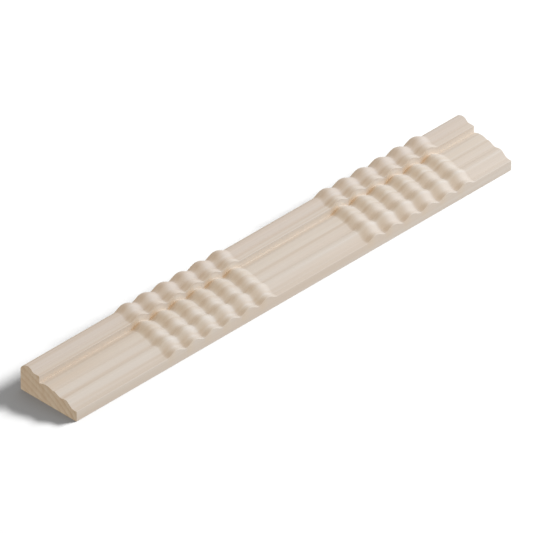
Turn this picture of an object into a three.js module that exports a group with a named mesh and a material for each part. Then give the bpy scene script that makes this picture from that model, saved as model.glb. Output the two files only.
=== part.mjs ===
// A length of ripple moulding in pale softwood, in millimetres, lying on its flat back.
// X runs along the length, Y across it with the thick edge at +Y, and Z up from the underside.
import * as THREE from 'three';

// Along the length: a plain run, then a group of ripples, over and over until the far cut
const length = 300;
const plainRun = 62.25;
const ripplePitch = 12.5;
const ripplesInGroup = 6;
const rippleRise = 2.35; // crest of a ripple above the plain moulding
const rippleFullness = 1.5; // power of the sine: 1 gives sharp valleys, 2 gives wide round ones

// Widths of the members, from the thick edge to the thin one
const beadBackWidth = 5.3; // thick edge to the crest of the bead
const beadFrontWidth = 3.8; // crest of the bead to the shelf
const shelfWidth = 3.85; // level shelf in front of the bead
const swellBackWidth = 4.4; // foot of the step to the crest of the swell
const swellFrontWidth = 4.75; // crest of the swell down to the crease
const creaseWidth = 1.2; // crease up to the crest of the lower swell
const lowerSwellWidth = 3.75; // crest of the lower swell down to the hollow
const hollowWidth = 1.2; // level bottom of the hollow
const rollBackWidth = 1.7; // hollow up to the top of the roll
const rollTopWidth = 1.6; // level top of the roll
const rollFrontWidth = 4.65; // top of the roll down to the front fillet
const filletWidth = 2.5; // level fillet along the thin edge

// Heights of the members, each one from the member before it
const frontHeight = 5.85; // underside to the front fillet
const rollRise = 3.2; // front fillet to the top of the roll
const hollowDepth = 0.45; // top of the roll down to the hollow
const lowerSwellRise = 1.66; // hollow to the crest of the lower swell
const creaseDepth = 0.08; // crest of the lower swell down to the crease
const swellRise = 0.92; // crease to the crest of the swell
const quirkDepth = 1.05; // crest of the swell down to the foot of the step
const stepRise = 3.85; // the upright step, foot to shelf
const beadRise = 2.1; // shelf to the crest of the bead
const beadShoulder = 3.5; // crest of the bead down to the thick edge
const shoulderSlope = 65; // degrees, where the bead leaves the thick edge

// How far each curve runs straight on at its start and its end, as a share of its width
const shoulderPull = { start: 0.32, end: 0.5 };
const beadPull = { start: 0.5, end: 0.25 };
const swellBackPull = { start: 0.1, end: 0.45 };
const swellFrontPull = { start: 0.6, end: 0.12 };
const lowerSwellPull = { start: 0.2, end: 0.2 };
const rollBackPull = { start: 0.15, end: 0.35 };
const rollFrontPull = { start: 0.16, end: 0.3 };

// Facets: flat steps in one curve of the section, and in one ripple
const stepsPerCurve = 5;
const stepsPerRipple = 8;
const shortestStep = 0.05;

const membersWidth = [
  beadBackWidth, beadFrontWidth, shelfWidth, swellBackWidth, swellFrontWidth, creaseWidth,
  lowerSwellWidth, hollowWidth, rollBackWidth, rollTopWidth, rollFrontWidth, filletWidth,
];
const width = membersWidth.reduce((sum, member) => sum + member, 0);
const patternLength = plainRun + ripplesInGroup * ripplePitch;

const rollHeight = frontHeight + rollRise;
const hollowHeight = rollHeight - hollowDepth;
const lowerSwellHeight = hollowHeight + lowerSwellRise;
const creaseHeight = lowerSwellHeight - creaseDepth;
const swellHeight = creaseHeight + swellRise;
const stepFootHeight = swellHeight - quirkDepth;
const shelfHeight = stepFootHeight + stepRise;
const beadHeight = shelfHeight + beadRise;
const backHeight = beadHeight - beadShoulder;

// The next curve of the section, towards the thin edge. It arrives level, and leaves level or at a slope
function curveTo(section, run, height, pull, slope = 0) {
  const from = section.currentPoint.clone();
  const to = new THREE.Vector2(from.x - run, height);
  const leaving = new THREE.Vector2(-pull.start * run, 0);
  leaving.rotateAround(new THREE.Vector2(), -THREE.MathUtils.degToRad(slope));
  section.bezierCurveTo(
    from.x + leaving.x, from.y + leaving.y,
    to.x + pull.end * run, to.y,
    to.x, to.y,
  );
}

function levelTo(section, run) {
  section.lineTo(section.currentPoint.x - run, section.currentPoint.y);
}

// The section of the plain moulding, seen from the far end: y to the right, z up
function makeSection() {
  const section = new THREE.Shape();
  section.moveTo(-width / 2, 0);
  section.lineTo(width / 2, 0);
  section.lineTo(width / 2, backHeight);
  curveTo(section, beadBackWidth, beadHeight, shoulderPull, shoulderSlope);
  curveTo(section, beadFrontWidth, shelfHeight, beadPull);
  levelTo(section, shelfWidth);
  section.lineTo(section.currentPoint.x, stepFootHeight);
  curveTo(section, swellBackWidth, swellHeight, swellBackPull);
  curveTo(section, swellFrontWidth, creaseHeight, swellFrontPull);
  section.lineTo(section.currentPoint.x - creaseWidth, lowerSwellHeight);
  curveTo(section, lowerSwellWidth, hollowHeight, lowerSwellPull);
  levelTo(section, hollowWidth);
  curveTo(section, rollBackWidth, rollHeight, rollBackPull);
  levelTo(section, rollTopWidth);
  curveTo(section, rollFrontWidth, frontHeight, rollFrontPull);
  levelTo(section, filletWidth);
  return section;
}

// How far the moulded top stands above the plain moulding at a place along the length
function rippleHeight(along) {
  const inGroup = (along % patternLength) - plainRun;
  if (inGroup <= 0) return 0;
  return rippleRise * Math.abs(Math.sin(Math.PI * inGroup / ripplePitch)) ** rippleFullness;
}

// Places along the length where the section is set: the two cuts, and steps through each ripple
function makeStations() {
  const stations = [0];
  const step = ripplePitch / stepsPerRipple;
  for (let first = plainRun; first < length; first += patternLength) {
    for (let count = 0; count <= ripplesInGroup * stepsPerRipple; count++) {
      stations.push(first + count * step);
    }
  }
  const kept = stations.filter((along) => along < length - shortestStep);
  return [...kept, length];
}

// The section run along the stations, with its moulded top lifted by the ripples
function makeMouldingGeometry() {
  const stations = makeStations();
  const strips = stations.length - 1;
  const geometry = new THREE.ExtrudeGeometry(makeSection(), {
    depth: strips,
    steps: strips,
    curveSegments: stepsPerCurve,
    bevelEnabled: false,
  });
  const position = geometry.attributes.position;
  for (let index = 0; index < position.count; index++) {
    const across = position.getX(index);
    const up = position.getY(index);
    const along = stations[Math.round(position.getZ(index))];
    const lift = up > 0 ? rippleHeight(along) : 0;
    position.setXYZ(index, along - length / 2, across, up + lift);
  }
  geometry.computeVertexNormals();
  return geometry;
}

const bareSoftwood = new THREE.MeshStandardMaterial({
  name: 'bare softwood',
  color: 0xd9ccbc,
  roughness: 0.7,
  metalness: 0,
});

const moulding = new THREE.Mesh(makeMouldingGeometry(), bareSoftwood);
moulding.name = 'moulding';

const group = new THREE.Group();
group.name = 'ripple moulding';
group.add(moulding);

export default group;
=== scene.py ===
import bmesh
import bpy
import math
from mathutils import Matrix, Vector


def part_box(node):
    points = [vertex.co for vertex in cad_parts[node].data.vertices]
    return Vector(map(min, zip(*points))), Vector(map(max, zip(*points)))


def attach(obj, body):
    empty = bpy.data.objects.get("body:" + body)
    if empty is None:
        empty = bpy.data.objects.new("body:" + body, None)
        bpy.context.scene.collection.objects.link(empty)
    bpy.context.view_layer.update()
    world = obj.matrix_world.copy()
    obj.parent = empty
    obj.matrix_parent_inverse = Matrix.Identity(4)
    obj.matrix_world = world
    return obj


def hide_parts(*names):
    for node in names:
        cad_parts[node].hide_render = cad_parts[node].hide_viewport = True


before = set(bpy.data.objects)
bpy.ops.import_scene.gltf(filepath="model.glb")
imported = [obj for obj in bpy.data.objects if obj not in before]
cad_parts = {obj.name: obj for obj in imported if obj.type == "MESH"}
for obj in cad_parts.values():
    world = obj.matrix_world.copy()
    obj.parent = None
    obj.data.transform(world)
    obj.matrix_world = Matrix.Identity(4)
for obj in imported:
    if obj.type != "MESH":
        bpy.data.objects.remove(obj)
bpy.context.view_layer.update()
mm = 0.001
print("frame loaded")

# the moulding, in millimetres, members in order from the thick edge to the thin one
moulding = {
    "plainRun": 62.25,
    "ripplePitch": 12.5,
    "ripplesInGroup": 6,
    "rippleRise": 2.35,
    "rippleFullness": 1.5,  # power of the sine: 1 gives sharp valleys, 2 gives wide round ones
    "beadBackWidth": 5.3,
    "beadFrontWidth": 3.8,
    "shelfWidth": 3.85,
    "swellBackWidth": 4.4,
    "swellFrontWidth": 4.75,
    "creaseWidth": 1.2,  # crease up to the crest of the lower swell
    "lowerSwellWidth": 3.75,
    "hollowWidth": 1.2,
    "rollBackWidth": 1.7,
    "rollTopWidth": 1.6,
    "rollFrontWidth": 4.65,
    "frontHeight": 5.85,
    "rollRise": 3.2,
    "hollowDepth": 0.45,
    "lowerSwellRise": 1.66,
    "creaseDepth": 0.08,
    "swellRise": 0.92,
    "quirkDepth": 1.05,
    "stepRise": 3.85,
    "beadRise": 2.1,
    "beadShoulder": 3.5,
    "shoulderSlope": 65,  # degrees, where the bead leaves the thick edge
    # how far each curve runs straight on at its start and its end, as a share of its width
    "shoulderPull": (0.32, 0.5),
    "beadPull": (0.5, 0.25),
    "swellBackPull": (0.1, 0.45),
    "swellFrontPull": (0.6, 0.12),
    "lowerSwellPull": (0.2, 0.2),
    "rollBackPull": (0.15, 0.35),
    "rollFrontPull": (0.16, 0.3),
    "bottomArris": 0.45,  # rounding of the long edges underneath
    "topArris": 0.3,  # rounding of the long edges that show
    "stepArris": 0.08,  # rounding of the upper edge of the step
    "quirkRadius": 0.03,  # left by the cutter at the foot of the step
    "endArris": 0.12,  # chamfer that the sanding leaves round the cut ends
    "edgeHold": 0.1,  # mesh lines this far from each edge keep the flat members flat
    "curveSteps": 16,
    "cornerSteps": 6,
    "rippleSteps": 20,
    "plainStep": 6.25,
    "sharpAngle": 24,  # degrees: faces that meet more sharply than this keep their edge
}


def curveTo(points, run, height, pull, slope=0):
    # a curve towards the thin edge that arrives level, and leaves level unless a slope is given
    start = points[-1].copy()
    end = Vector((start.x - run, height))
    leaving = Vector((-math.cos(math.radians(slope)), math.sin(math.radians(slope))))
    startHandle = start + leaving * pull[0] * run
    endHandle = end + Vector((pull[1] * run, 0))
    steps = moulding["curveSteps"]
    for step in range(1, steps + 1):
        t = step / steps
        s = 1 - t
        near = start * s ** 3 + startHandle * 3 * s * s * t
        far = endHandle * 3 * s * t * t + end * t ** 3
        points.append(near + far)


def turnCorner(points, corner, leaving, radius):
    # a quarter round from the line that arrives at the corner to the one that leaves it
    arriving = (corner - points[-1]).normalized()
    held = radius + moulding["edgeHold"]
    steps = moulding["cornerSteps"]
    points.append(corner - arriving * held)
    for step in range(steps + 1):
        turn = math.radians(90) * step / steps
        back = arriving * radius * (1 - math.sin(turn))
        onward = leaving * radius * (1 - math.cos(turn))
        points.append(corner - back + onward)
    points.append(corner + leaving * held)


def levelTo(points, run):
    points.append(points[-1] + Vector((-run, 0)))


def stepFoot(width):
    # where the upright step meets the swell, across and up
    m = moulding
    across = width / 2 - m["beadBackWidth"] - m["beadFrontWidth"] - m["shelfWidth"]
    lowerSwell = m["frontHeight"] + m["rollRise"] - m["hollowDepth"] + m["lowerSwellRise"]
    return Vector((across, lowerSwell - m["creaseDepth"] + m["swellRise"] - m["quirkDepth"]))


def mouldingSection(width):
    # the plain section as (across, up), going round from the thin edge underneath
    m = moulding
    foot = stepFoot(width)
    rollHeight = m["frontHeight"] + m["rollRise"]
    hollowHeight = rollHeight - m["hollowDepth"]
    lowerSwellHeight = hollowHeight + m["lowerSwellRise"]
    creaseHeight = lowerSwellHeight - m["creaseDepth"]
    swellHeight = creaseHeight + m["swellRise"]
    shelfHeight = foot.y + m["stepRise"]
    beadHeight = shelfHeight + m["beadRise"]
    backHeight = beadHeight - m["beadShoulder"]
    half = width / 2
    slope = math.radians(m["shoulderSlope"])
    up, down = Vector((0, 1)), Vector((0, -1))
    back, front = Vector((1, 0)), Vector((-1, 0))
    points = [Vector((-half + m["bottomArris"], 0))]
    turnCorner(points, Vector((half, 0)), up, m["bottomArris"])
    shoulder = Vector((-math.cos(slope), math.sin(slope)))
    turnCorner(points, Vector((half, backHeight)), shoulder, m["topArris"])
    crestAcross = half - m["beadBackWidth"]
    shoulderWidth = points[-1].x - crestAcross
    curveTo(points, shoulderWidth, beadHeight, m["shoulderPull"], m["shoulderSlope"])
    curveTo(points, m["beadFrontWidth"], shelfHeight, m["beadPull"])
    turnCorner(points, Vector((foot.x, shelfHeight)), down, m["stepArris"])
    turnCorner(points, foot, front, m["quirkRadius"])
    swellAcross = foot.x - m["swellBackWidth"]
    curveTo(points, points[-1].x - swellAcross, swellHeight, m["swellBackPull"])
    curveTo(points, m["swellFrontWidth"], creaseHeight, m["swellFrontPull"])
    points.append(Vector((points[-1].x - m["creaseWidth"], lowerSwellHeight)))
    curveTo(points, m["lowerSwellWidth"], hollowHeight, m["lowerSwellPull"])
    levelTo(points, m["hollowWidth"])
    curveTo(points, m["rollBackWidth"], rollHeight, m["rollBackPull"])
    levelTo(points, m["rollTopWidth"])
    curveTo(points, m["rollFrontWidth"], m["frontHeight"], m["rollFrontPull"])
    turnCorner(points, Vector((-half, m["frontHeight"])), down, m["topArris"])
    turnCorner(points, Vector((-half, 0)), back, m["bottomArris"])
    return points[1:]


def rippleLift(along):
    # how far the moulded top stands above the plain moulding at a place along the length
    m = moulding
    patternLength = m["plainRun"] + m["ripplesInGroup"] * m["ripplePitch"]
    inGroup = (along % patternLength) - m["plainRun"]
    if inGroup <= 0:
        return 0
    wave = abs(math.sin(math.pi * inGroup / m["ripplePitch"]))
    return m["rippleRise"] * wave ** m["rippleFullness"]


def mouldingStations(length):
    # places along the length: even steps through the plain runs, fine ones through the ripples
    m = moulding
    stations = []
    place = 0
    while place < length:
        stations.append(place + m["edgeHold"])
        for step in range(1, round(m["plainRun"] / m["plainStep"])):
            stations.append(place + step * m["plainStep"])
        place += m["plainRun"]
        stations.append(place - m["edgeHold"])
        for step in range(m["ripplesInGroup"] * m["rippleSteps"] + 1):
            stations.append(place + step * m["ripplePitch"] / m["rippleSteps"])
        place += m["ripplesInGroup"] * m["ripplePitch"]
    clear = m["plainStep"] / 4  # no station as close as this to a cut, apart from its chamfer's
    inside = [along for along in stations if clear < along < length - clear]
    return [0, m["endArris"], *inside, length - m["endArris"], length]


def insetSection(points, distance):
    # the section drawn in by a small distance, for the chamfer round a cut end
    inner = []
    for index, point in enumerate(points):
        before = points[index - 1]
        after = points[(index + 1) % len(points)]
        run = (after - before).normalized()
        inner.append(point + Vector((-run.y, run.x)) * distance)
    return inner


# painted light and shade on the moulded top, standing in for how the lamps and the dome fall on it:
# colours multiply the timber's own
paintedShading = {
    "footPaintedLight": (1.25, 1.28, 1.29),  # painted light: lighter and warmer at the foot of the step, lifting the shade there
    "footLightReach": 4.0,
    "swellPaintedShade": (0.96, 0.935, 0.90),  # painted shade: a darker band along the top of the swell, toning down the light it catches
    "swellShadePlace": 6.7,  # middle of that band, in front of the foot of the step
    "swellShadeReach": 5.0,
    "flankPaintedShade": (1.01, 0.975, 0.91),  # painted shade: warmer and darker on the flank of each ripple that faces the near cut, away from the lamp
    "cornerPaintedLight": (1.15, 1.08, 0.96),  # painted light: a lighter, warm patch of bounce light where that flank runs into the foot of the step
    "cornerLightReach": 3.4,
}


def fade(distance, reach):
    # 1 at no distance, smoothly down to 0 at the reach
    share = max(0, 1 - distance / reach)
    return share * share * (3 - 2 * share)


def paintedShadingTint(point, along, foot):
    # the painted light and shade at a place on the moulded top
    m, shading = moulding, paintedShading
    fromFoot = (point - foot).length
    reach = m["ripplePitch"] / m["rippleSteps"]
    climb = (rippleLift(along + reach) - rippleLift(along - reach)) / (2 * reach)
    steepest = m["rippleRise"] / m["ripplePitch"] * math.pi
    flank = min(1, max(0, climb / steepest))
    shares = {
        "footPaintedLight": fade(fromFoot, shading["footLightReach"]) * (1 - flank),
        "swellPaintedShade": fade(abs(foot.x - shading["swellShadePlace"] - point.x), shading["swellShadeReach"]),
        "flankPaintedShade": flank,
        "cornerPaintedLight": fade(fromFoot, shading["cornerLightReach"]) * flank,
    }
    tint = [1, 1, 1]
    for name, share in shares.items():
        tint = [have * (1 + share * (withPaintedShading - 1)) for have, withPaintedShading in zip(tint, shading[name])]
    return (*tint, 1)


def makeMoulding():
    low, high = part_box("moulding")
    length = (high.x - low.x) / mm
    width = (high.y - low.y) / mm
    section = mouldingSection(width)
    foot = stepFoot(width)
    inner = insetSection(section, moulding["endArris"])
    stations = mouldingStations(length)
    middle = moulding["frontHeight"] / 2  # what lies above this is the moulded top
    mesh = bpy.data.meshes.new("carvedMoulding")
    shape = bmesh.new()
    shadingTints = shape.verts.layers.float_color.new("paintedShadingTint")
    rings = []
    for along in stations:
        atCut = along in (stations[0], stations[-1])
        lift = rippleLift(along)
        ring = []
        for point in inner if atCut else section:
            height = point.y + (lift if point.y > middle else 0)
            place = Vector((low.x + along * mm, point.x * mm, low.z + height * mm))
            vertex = shape.verts.new(place)
            # painted light and shade on the moulded top, carried in each vertex
            vertex[shadingTints] = paintedShadingTint(point, along, foot) if point.y > middle else (1, 1, 1, 1)
            ring.append(vertex)
        rings.append(ring)
    count = len(section)
    for here, there in zip(rings, rings[1:]):
        for index in range(count):
            after = (index + 1) % count
            shape.faces.new((here[index], here[after], there[after], there[index]))
    shape.faces.new(list(reversed(rings[0])))
    shape.faces.new(rings[-1])
    bmesh.ops.recalc_face_normals(shape, faces=shape.faces)
    shape.to_mesh(mesh)
    shape.free()
    mesh.shade_smooth()
    mesh.set_sharp_from_angle(angle=math.radians(moulding["sharpAngle"]))
    piece = bpy.data.objects.new("carvedMoulding", mesh)
    bpy.context.scene.collection.objects.link(piece)
    return piece


# the timber: pale, straight grained, planed and sanded, with no finish on it
timber = {
    "paleTone": (0.628, 0.527, 0.426),
    "brownTone": (0.574, 0.454, 0.343),
    "pinkTone": (0.608, 0.486, 0.375),
    "lateWood": (0.86, 0.80, 0.73),  # what the dark part of a ring leaves of the colour
    "endGrainAndPaintedLight": (1.06, 1.0, 0.885),  # the cut grain against the colour of the face, partly painted light: raised to lighten the cut ends beyond the light they get
    "backPaintedShade": (0.95, 0.935, 0.935),  # painted shade: the side towards the thick edge, over the bead, is a little darker to tone down the light it catches
    "backShadeFrom": 6.0,  # millimetres across where that starts, and where it is full
    "backShadeTo": 13.0,
    "endGrain": (0.42, 0.95),  # how squarely the grain is cut where this starts to show, and is full
    "ringSpacing": 3.3,
    "pith": (40.0, -62.0),  # centre of the rings, across and up, in millimetres
    "wander": 1.6,  # how far the rings stray from true circles
    "lateFrom": 0.25,  # where in a ring the late wood starts, is darkest and starts to end
    "lateDarkest": 0.88,
    "lateUntil": 0.9,
    "palestRing": 0.5,  # share of the darkening that the palest ring keeps
    "faceRings": 0.16,  # how strongly the rings show away from the cut ends
    # a low and a high value of each noise, and the share or the tone that they give
    "brownStreaks": (0.36, 0.68, 0, 0.85),
    "pinkPatches": (0.45, 0.70, 0, 0.8),
    "fibreTone": (0.25, 0.75, 0.98, 1.018),
    "fleckTone": (0.30, 0.42, 0.97, 1.0),
    "endDotTone": (0.3, 0.7, 0.94, 1.05),
    "roughness": 0.74,
    "fibreRoughness": 0.12,  # how much the fibres change it
    "endRoughness": 0.15,  # how much rougher the cut ends are
    "specular": 0.22,
    "bumpStrength": 0.15,
    "bumpHeight": 0.03,  # millimetres
    "lateRelief": 0.6,  # late wood stands up by this share of the fibres' height
    # noises: size along the grain, across and up in millimetres, detail, roughness
    "strayNoise": (180, 22, 22, 1, 0.5),
    "streakNoise": (420, 2.3, 7, 2.5, 0.6),
    "patchNoise": (160, 6, 9, 2, 0.5),
    "fibreNoise": (60, 1 / 2.2, 1 / 1.2, 3, 0.6),
    "fleckNoise": (6, 0.25, 0.4, 2, 0.6),
    "endDotNoise": (8, 1 / 3.4, 1 / 3.4, 3, 0.7),
}


def addNode(tree, kind, **values):
    node = tree.nodes.new(kind)
    for name, value in values.items():
        setattr(node, name, value)
    return node


def feed(tree, socket, value):
    # links an output, or writes a plain value
    if isinstance(value, bpy.types.NodeSocket):
        tree.links.new(value, socket)
    else:
        socket.default_value = value


def sums(tree, operation, first, second=0.0, third=0.0):
    node = addNode(tree, "ShaderNodeMath", operation=operation)
    for socket, value in zip(node.inputs, (first, second, third)):
        feed(tree, socket, value)
    return node.outputs["Value"]


def stretched(tree, place, scale):
    # a place in the timber, scaled along, across and up
    node = addNode(tree, "ShaderNodeVectorMath", operation="MULTIPLY")
    feed(tree, node.inputs[0], place)
    node.inputs[1].default_value = scale
    return node.outputs["Vector"]


def scaled(tree, colour, factor):
    # a colour made lighter or darker all over
    node = addNode(tree, "ShaderNodeVectorMath", operation="SCALE")
    feed(tree, node.inputs[0], colour)
    feed(tree, node.inputs["Scale"], factor)
    return node.outputs["Vector"]


def noise(tree, place, values):
    along, across, up, detail, roughness = values
    node = addNode(tree, "ShaderNodeTexNoise")
    feed(tree, node.inputs["Vector"], stretched(tree, place, (1 / along, 1 / across, 1 / up)))
    node.inputs["Scale"].default_value = 1
    node.inputs["Detail"].default_value = detail
    node.inputs["Roughness"].default_value = roughness
    return node.outputs["Fac"]


def remap(tree, value, fromLow, fromHigh, toLow, toHigh):
    # takes one range smoothly to another
    node = addNode(tree, "ShaderNodeMapRange", interpolation_type="SMOOTHSTEP")
    feed(tree, node.inputs["Value"], value)
    node.inputs["From Min"].default_value = fromLow
    node.inputs["From Max"].default_value = fromHigh
    node.inputs["To Min"].default_value = toLow
    node.inputs["To Max"].default_value = toHigh
    return node.outputs["Result"]


def blendColour(tree, share, first, second, how="MIX"):
    node = addNode(tree, "ShaderNodeMix", data_type="RGBA", blend_type=how)
    feed(tree, node.inputs["Factor"], share)
    for socket, value in ((node.inputs[6], first), (node.inputs[7], second)):
        feed(tree, socket, (*value, 1) if isinstance(value, tuple) else value)
    return node.outputs[2]


def bareTimber():
    material = bpy.data.materials.new("bareTimber")
    material.use_nodes = True
    tree = material.node_tree
    tree.nodes.clear()
    output = addNode(tree, "ShaderNodeOutputMaterial")
    shader = addNode(tree, "ShaderNodeBsdfPrincipled")
    tree.links.new(shader.outputs[0], output.inputs[0])
    coordinates = addNode(tree, "ShaderNodeTexCoord")
    place = stretched(tree, coordinates.outputs["Object"], (1 / mm, 1 / mm, 1 / mm))
    split = addNode(tree, "ShaderNodeSeparateXYZ")
    feed(tree, split.inputs[0], place)

    # how squarely the surface cuts the grain: 1 on the cut ends
    facing = addNode(tree, "ShaderNodeSeparateXYZ")
    feed(tree, facing.inputs[0], coordinates.outputs["Normal"])
    acrossGrain = sums(tree, "ABSOLUTE", facing.outputs["X"])
    endGrain = remap(tree, acrossGrain, *timber["endGrain"], 0, 1)

    # growth rings: distance from the pith, straying slowly along the length
    offY = sums(tree, "SUBTRACT", split.outputs["Y"], timber["pith"][0])
    offZ = sums(tree, "SUBTRACT", split.outputs["Z"], timber["pith"][1])
    squares = sums(tree, "ADD", sums(tree, "MULTIPLY", offY, offY), sums(tree, "MULTIPLY", offZ, offZ))
    radius = sums(tree, "SQRT", squares)
    stray = sums(tree, "SUBTRACT", noise(tree, place, timber["strayNoise"]), 0.5)
    strayed = sums(tree, "MULTIPLY_ADD", stray, timber["wander"] * 2, radius)
    ringCount = sums(tree, "DIVIDE", strayed, timber["ringSpacing"])
    ringPart = sums(tree, "FRACT", ringCount)
    darkening = remap(tree, ringPart, timber["lateFrom"], timber["lateDarkest"], 0, 1)
    clearing = remap(tree, ringPart, timber["lateUntil"], 1.0, 1, 0)
    late = sums(tree, "MULTIPLY", darkening, clearing)
    ringTone = addNode(tree, "ShaderNodeTexWhiteNoise", noise_dimensions="1D")
    feed(tree, ringTone.inputs["W"], sums(tree, "FLOOR", ringCount))
    palest = timber["palestRing"]
    ringDepth = sums(tree, "MULTIPLY_ADD", ringTone.outputs["Value"], 1 - palest, palest)
    ringShow = remap(tree, endGrain, 0, 1, timber["faceRings"], 1)
    ringShare = sums(tree, "MULTIPLY", sums(tree, "MULTIPLY", late, ringDepth), ringShow)

    # long straight streaks and fibres run with the grain
    streaks = noise(tree, place, timber["streakNoise"])
    patches = noise(tree, place, timber["patchNoise"])
    fibres = noise(tree, place, timber["fibreNoise"])
    flecks = noise(tree, place, timber["fleckNoise"])
    endDots = noise(tree, place, timber["endDotNoise"])

    # the colour of the timber, before the cutters
    brownShare = remap(tree, streaks, *timber["brownStreaks"])
    colour = blendColour(tree, brownShare, timber["paleTone"], timber["brownTone"])
    pinkShare = remap(tree, patches, *timber["pinkPatches"])
    colour = blendColour(tree, pinkShare, colour, timber["pinkTone"])
    darker = blendColour(tree, 1.0, colour, timber["lateWood"], "MULTIPLY")
    colour = blendColour(tree, ringShare, colour, darker)

    # the faces: fibres and flecks, painted light and shade on the moulded top, and painted shade on the
    # side towards the thick edge
    fibreTone = remap(tree, fibres, *timber["fibreTone"])
    fleckTone = remap(tree, flecks, *timber["fleckTone"])
    toned = scaled(tree, colour, sums(tree, "MULTIPLY", fibreTone, fleckTone))
    # the painted light and shade carried in the vertices
    shadingNode = addNode(tree, "ShaderNodeAttribute", attribute_name="paintedShadingTint")
    withPaintedShading = blendColour(tree, 1.0, toned, shadingNode.outputs["Color"], "MULTIPLY")
    backShadeShare = remap(tree, split.outputs["Y"], timber["backShadeFrom"], timber["backShadeTo"], 0, 1)
    face = blendColour(tree, backShadeShare, withPaintedShading, timber["backPaintedShade"], "MULTIPLY")

    # the cut ends: the cut grain's colour, with painted light that lightens them
    cutAcross = blendColour(tree, 1.0, colour, timber["endGrainAndPaintedLight"], "MULTIPLY")
    cutEnd = scaled(tree, cutAcross, remap(tree, endDots, *timber["endDotTone"]))
    feed(tree, shader.inputs["Base Color"], blendColour(tree, endGrain, face, cutEnd))

    # how it takes the light
    smoothest = timber["roughness"] - timber["fibreRoughness"] / 2
    rough = sums(tree, "MULTIPLY_ADD", fibres, timber["fibreRoughness"], smoothest)
    rougher = sums(tree, "MULTIPLY_ADD", endGrain, timber["endRoughness"], rough)
    feed(tree, shader.inputs["Roughness"], rougher)
    shader.inputs["Specular IOR Level"].default_value = timber["specular"]

    bump = addNode(tree, "ShaderNodeBump")
    bump.inputs["Strength"].default_value = timber["bumpStrength"]
    bump.inputs["Distance"].default_value = timber["bumpHeight"] * mm
    lateHeight = sums(tree, "MULTIPLY", late, timber["lateRelief"])
    feed(tree, bump.inputs["Height"], sums(tree, "ADD", fibres, lateHeight))
    feed(tree, shader.inputs["Normal"], bump.outputs["Normal"])
    return material


# the floor, light and camera
studio = {
    "floorSize": 12.0,
    "floorColour": (0.306, 0.306, 0.306),  # a grey that the floor lamp brings up to white
    "skyColour": (1.0, 1.0, 1.0),
    "skyStrength": 0.85,
    "skySlope": (0.22, 0.0, 0.07),  # how much brighter it gets towards +X, +Y and straight up
    "lampAzimuth": -25,  # degrees from +X towards +Y
    "lampElevation": 29,
    # what each lamp lights, its distance, width and height in metres, and its watts and colour
    "lamps": {
        "keyLamp": ("wood", 1.4, 0.56, 0.25, 11.8, (0.74, 1.0, 1.36)),
        "floorLamp": ("floor", 6.0, 2.3, 1.05, 1980.0, (1.0, 1.0, 1.0)),
    },
    "lens": 1500.0,  # millimetres: so long that the view is all but isometric
    "sensor": 36.0,
    "frameWidth": 0.2601,  # metres seen across the picture at the object
    "aim": (0.00206, 0.00287, 0.00492),
}


def layFloor():
    mesh = bpy.data.meshes.new("floor")
    shape = bmesh.new()
    half = studio["floorSize"] / 2
    corners = [(-half, -half), (half, -half), (half, half), (-half, half)]
    shape.faces.new([shape.verts.new((x, y, 0)) for x, y in corners])
    shape.to_mesh(mesh)
    shape.free()
    floor = bpy.data.objects.new("floor", mesh)
    bpy.context.scene.collection.objects.link(floor)
    paper = bpy.data.materials.new("floorPaper")
    paper.use_nodes = True
    shader = paper.node_tree.nodes["Principled BSDF"]
    shader.inputs["Base Color"].default_value = (*studio["floorColour"], 1)
    shader.inputs["Roughness"].default_value = 1
    shader.inputs["Specular IOR Level"].default_value = 0
    mesh.materials.append(paper)
    floor.visible_diffuse = False  # no light thrown back up at the wood
    return floor


def setSky():
    # a soft dome all round, a little brighter towards the far cut
    world = bpy.data.worlds.new("studioSky")
    bpy.context.scene.world = world
    world.use_nodes = True
    tree = world.node_tree
    sky = tree.nodes["Background"]
    sky.inputs["Color"].default_value = (*studio["skyColour"], 1)
    direction = addNode(tree, "ShaderNodeTexCoord")
    towards = addNode(tree, "ShaderNodeVectorMath", operation="DOT_PRODUCT")
    feed(tree, towards.inputs[0], direction.outputs["Generated"])
    towards.inputs[1].default_value = studio["skySlope"]
    feed(tree, sky.inputs["Strength"], sums(tree, "ADD", towards.outputs["Value"], studio["skyStrength"]))


def setLamp(name, values, lit):
    # a soft lamp that faces the middle of the moulding and lights one thing alone
    target, distance, width, height, watts, colour = values
    lamp = bpy.data.lights.new(name, "AREA")
    lamp.shape = "RECTANGLE"
    lamp.size = width
    lamp.size_y = height
    lamp.energy = watts
    lamp.color = colour
    around = math.radians(studio["lampAzimuth"])
    above = math.radians(studio["lampElevation"])
    level = math.cos(above)
    towards = Vector((level * math.cos(around), level * math.sin(around), math.sin(above)))
    holder = bpy.data.objects.new(name, lamp)
    holder.location = towards * distance
    holder.rotation_euler = towards.to_track_quat("Z", "Y").to_euler()
    bpy.context.scene.collection.objects.link(holder)
    receivers = bpy.data.collections.new(name + "Receivers")
    receivers.objects.link(lit[target])
    holder.light_linking.receiver_collection = receivers


def setCamera():
    lens = bpy.data.cameras.new("camera")
    lens.sensor_width = studio["sensor"]
    lens.lens = studio["lens"]
    camera = bpy.data.objects.new("camera", lens)
    towards = Vector((-1, -1, 1)).normalized()
    distance = studio["frameWidth"] * studio["lens"] / studio["sensor"]
    camera.location = Vector(studio["aim"]) + towards * distance
    camera.rotation_euler = towards.to_track_quat("Z", "Y").to_euler()
    lens.clip_start = distance / 10
    lens.clip_end = distance * 3
    bpy.context.scene.collection.objects.link(camera)
    bpy.context.scene.camera = camera


bpy.context.scene.view_settings.view_transform = "Standard"
setCamera()
setSky()
floor = layFloor()
print("floor laid")

piece = makeMoulding()
piece.data.materials.append(bareTimber())
print("timber mixed")
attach(piece, "root")
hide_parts("moulding")
print("moulding carved:", len(piece.data.polygons), "faces")

for name, values in studio["lamps"].items():
    setLamp(name, values, {"wood": piece, "floor": floor})
print("lamps set:", len(studio["lamps"]))
